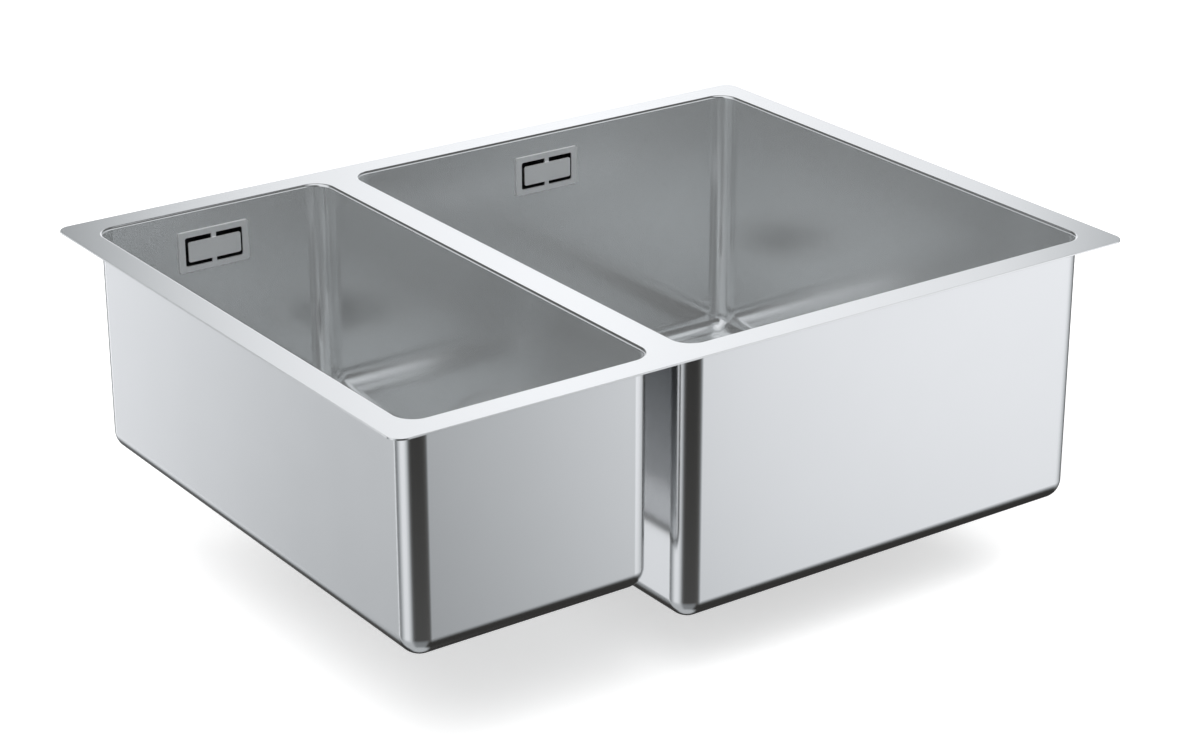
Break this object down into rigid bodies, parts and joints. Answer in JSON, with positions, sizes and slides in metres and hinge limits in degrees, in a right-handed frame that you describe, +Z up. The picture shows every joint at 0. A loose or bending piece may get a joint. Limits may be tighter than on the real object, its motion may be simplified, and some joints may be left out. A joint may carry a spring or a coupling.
{
  "type": "undermount sink",
  "caption": "Undermount stainless steel sink with a large and a small bowl under a flat rim, overflows, basket strainer wastes and lift-out baskets.",
  "frame": {"origin": "centre of the rim's top face, in the plane that meets the worktop's underside", "axes": "+X from the small bowl to the large bowl, +Y from the front to the overflow wall, +Z up"},
  "size_m": [0.595, 0.4516, 0.2495],
  "materials": {
    "rim_steel": "polished, fine cross grain",
    "bowl_steel": "satin inside, smooth and bright outside",
    "trim_steel": "satin",
    "fixing_steel": "bright zinc",
    "black_plastic": "moulded, fine texture",
    "knob_plastic": "moulded, half gloss",
    "hose_plastic": "ribbed, smooth",
    "black_rubber": "matt",
    "foam_rubber": "fine closed cell foam",
    "sound_pad": "matt, fine grain"
  },
  "bodies": {
    "sink": {"rim_plate": "rim_steel", "large_bowl": "bowl_steel", "small_bowl": "bowl_steel", "large_sound_pads": "sound_pad", "small_sound_pads": "sound_pad", "large_overflow_cover": "trim_steel", "small_overflow_cover": "trim_steel", "large_overflow_plate": "trim_steel", "small_overflow_plate": "trim_steel", "large_overflow_screw": "fixing_steel", "small_overflow_screw": "fixing_steel", "large_overflow_gasket": "foam_rubber", "small_overflow_gasket": "foam_rubber", "large_overflow_housing": "black_plastic", "small_overflow_housing": "black_plastic", "large_overflow_hose": "hose_plastic", "small_overflow_hose": "hose_plastic", "large_hose_clips": "fixing_steel", "small_hose_clips": "fixing_steel", "large_strainer_dish": "trim_steel", "small_strainer_dish": "trim_steel", "large_flange_gasket": "black_rubber", "small_flange_gasket": "black_rubber", "large_lower_washer": "black_rubber", "small_lower_washer": "black_rubber", "large_waste_body": "black_plastic", "small_waste_body": "black_plastic", "large_clamp_screw": "fixing_steel", "small_clamp_screw": "fixing_steel"},
    "large_basket_set": {"large_basket": "trim_steel", "large_basket_seal": "black_rubber", "large_basket_knob": "knob_plastic"},
    "small_basket_set": {"small_basket": "trim_steel", "small_basket_seal": "black_rubber", "small_basket_knob": "knob_plastic"}
  },
  "joints": [
    {"name": "large_basket_lift", "type": "slide", "parent": "sink", "child": "large_basket_set", "axis": [0, 0, 1], "range_m": [0, 0.26]},
    {"name": "small_basket_lift", "type": "slide", "parent": "sink", "child": "small_basket_set", "axis": [0, 0, 1], "range_m": [0, 0.22]}
  ]
}
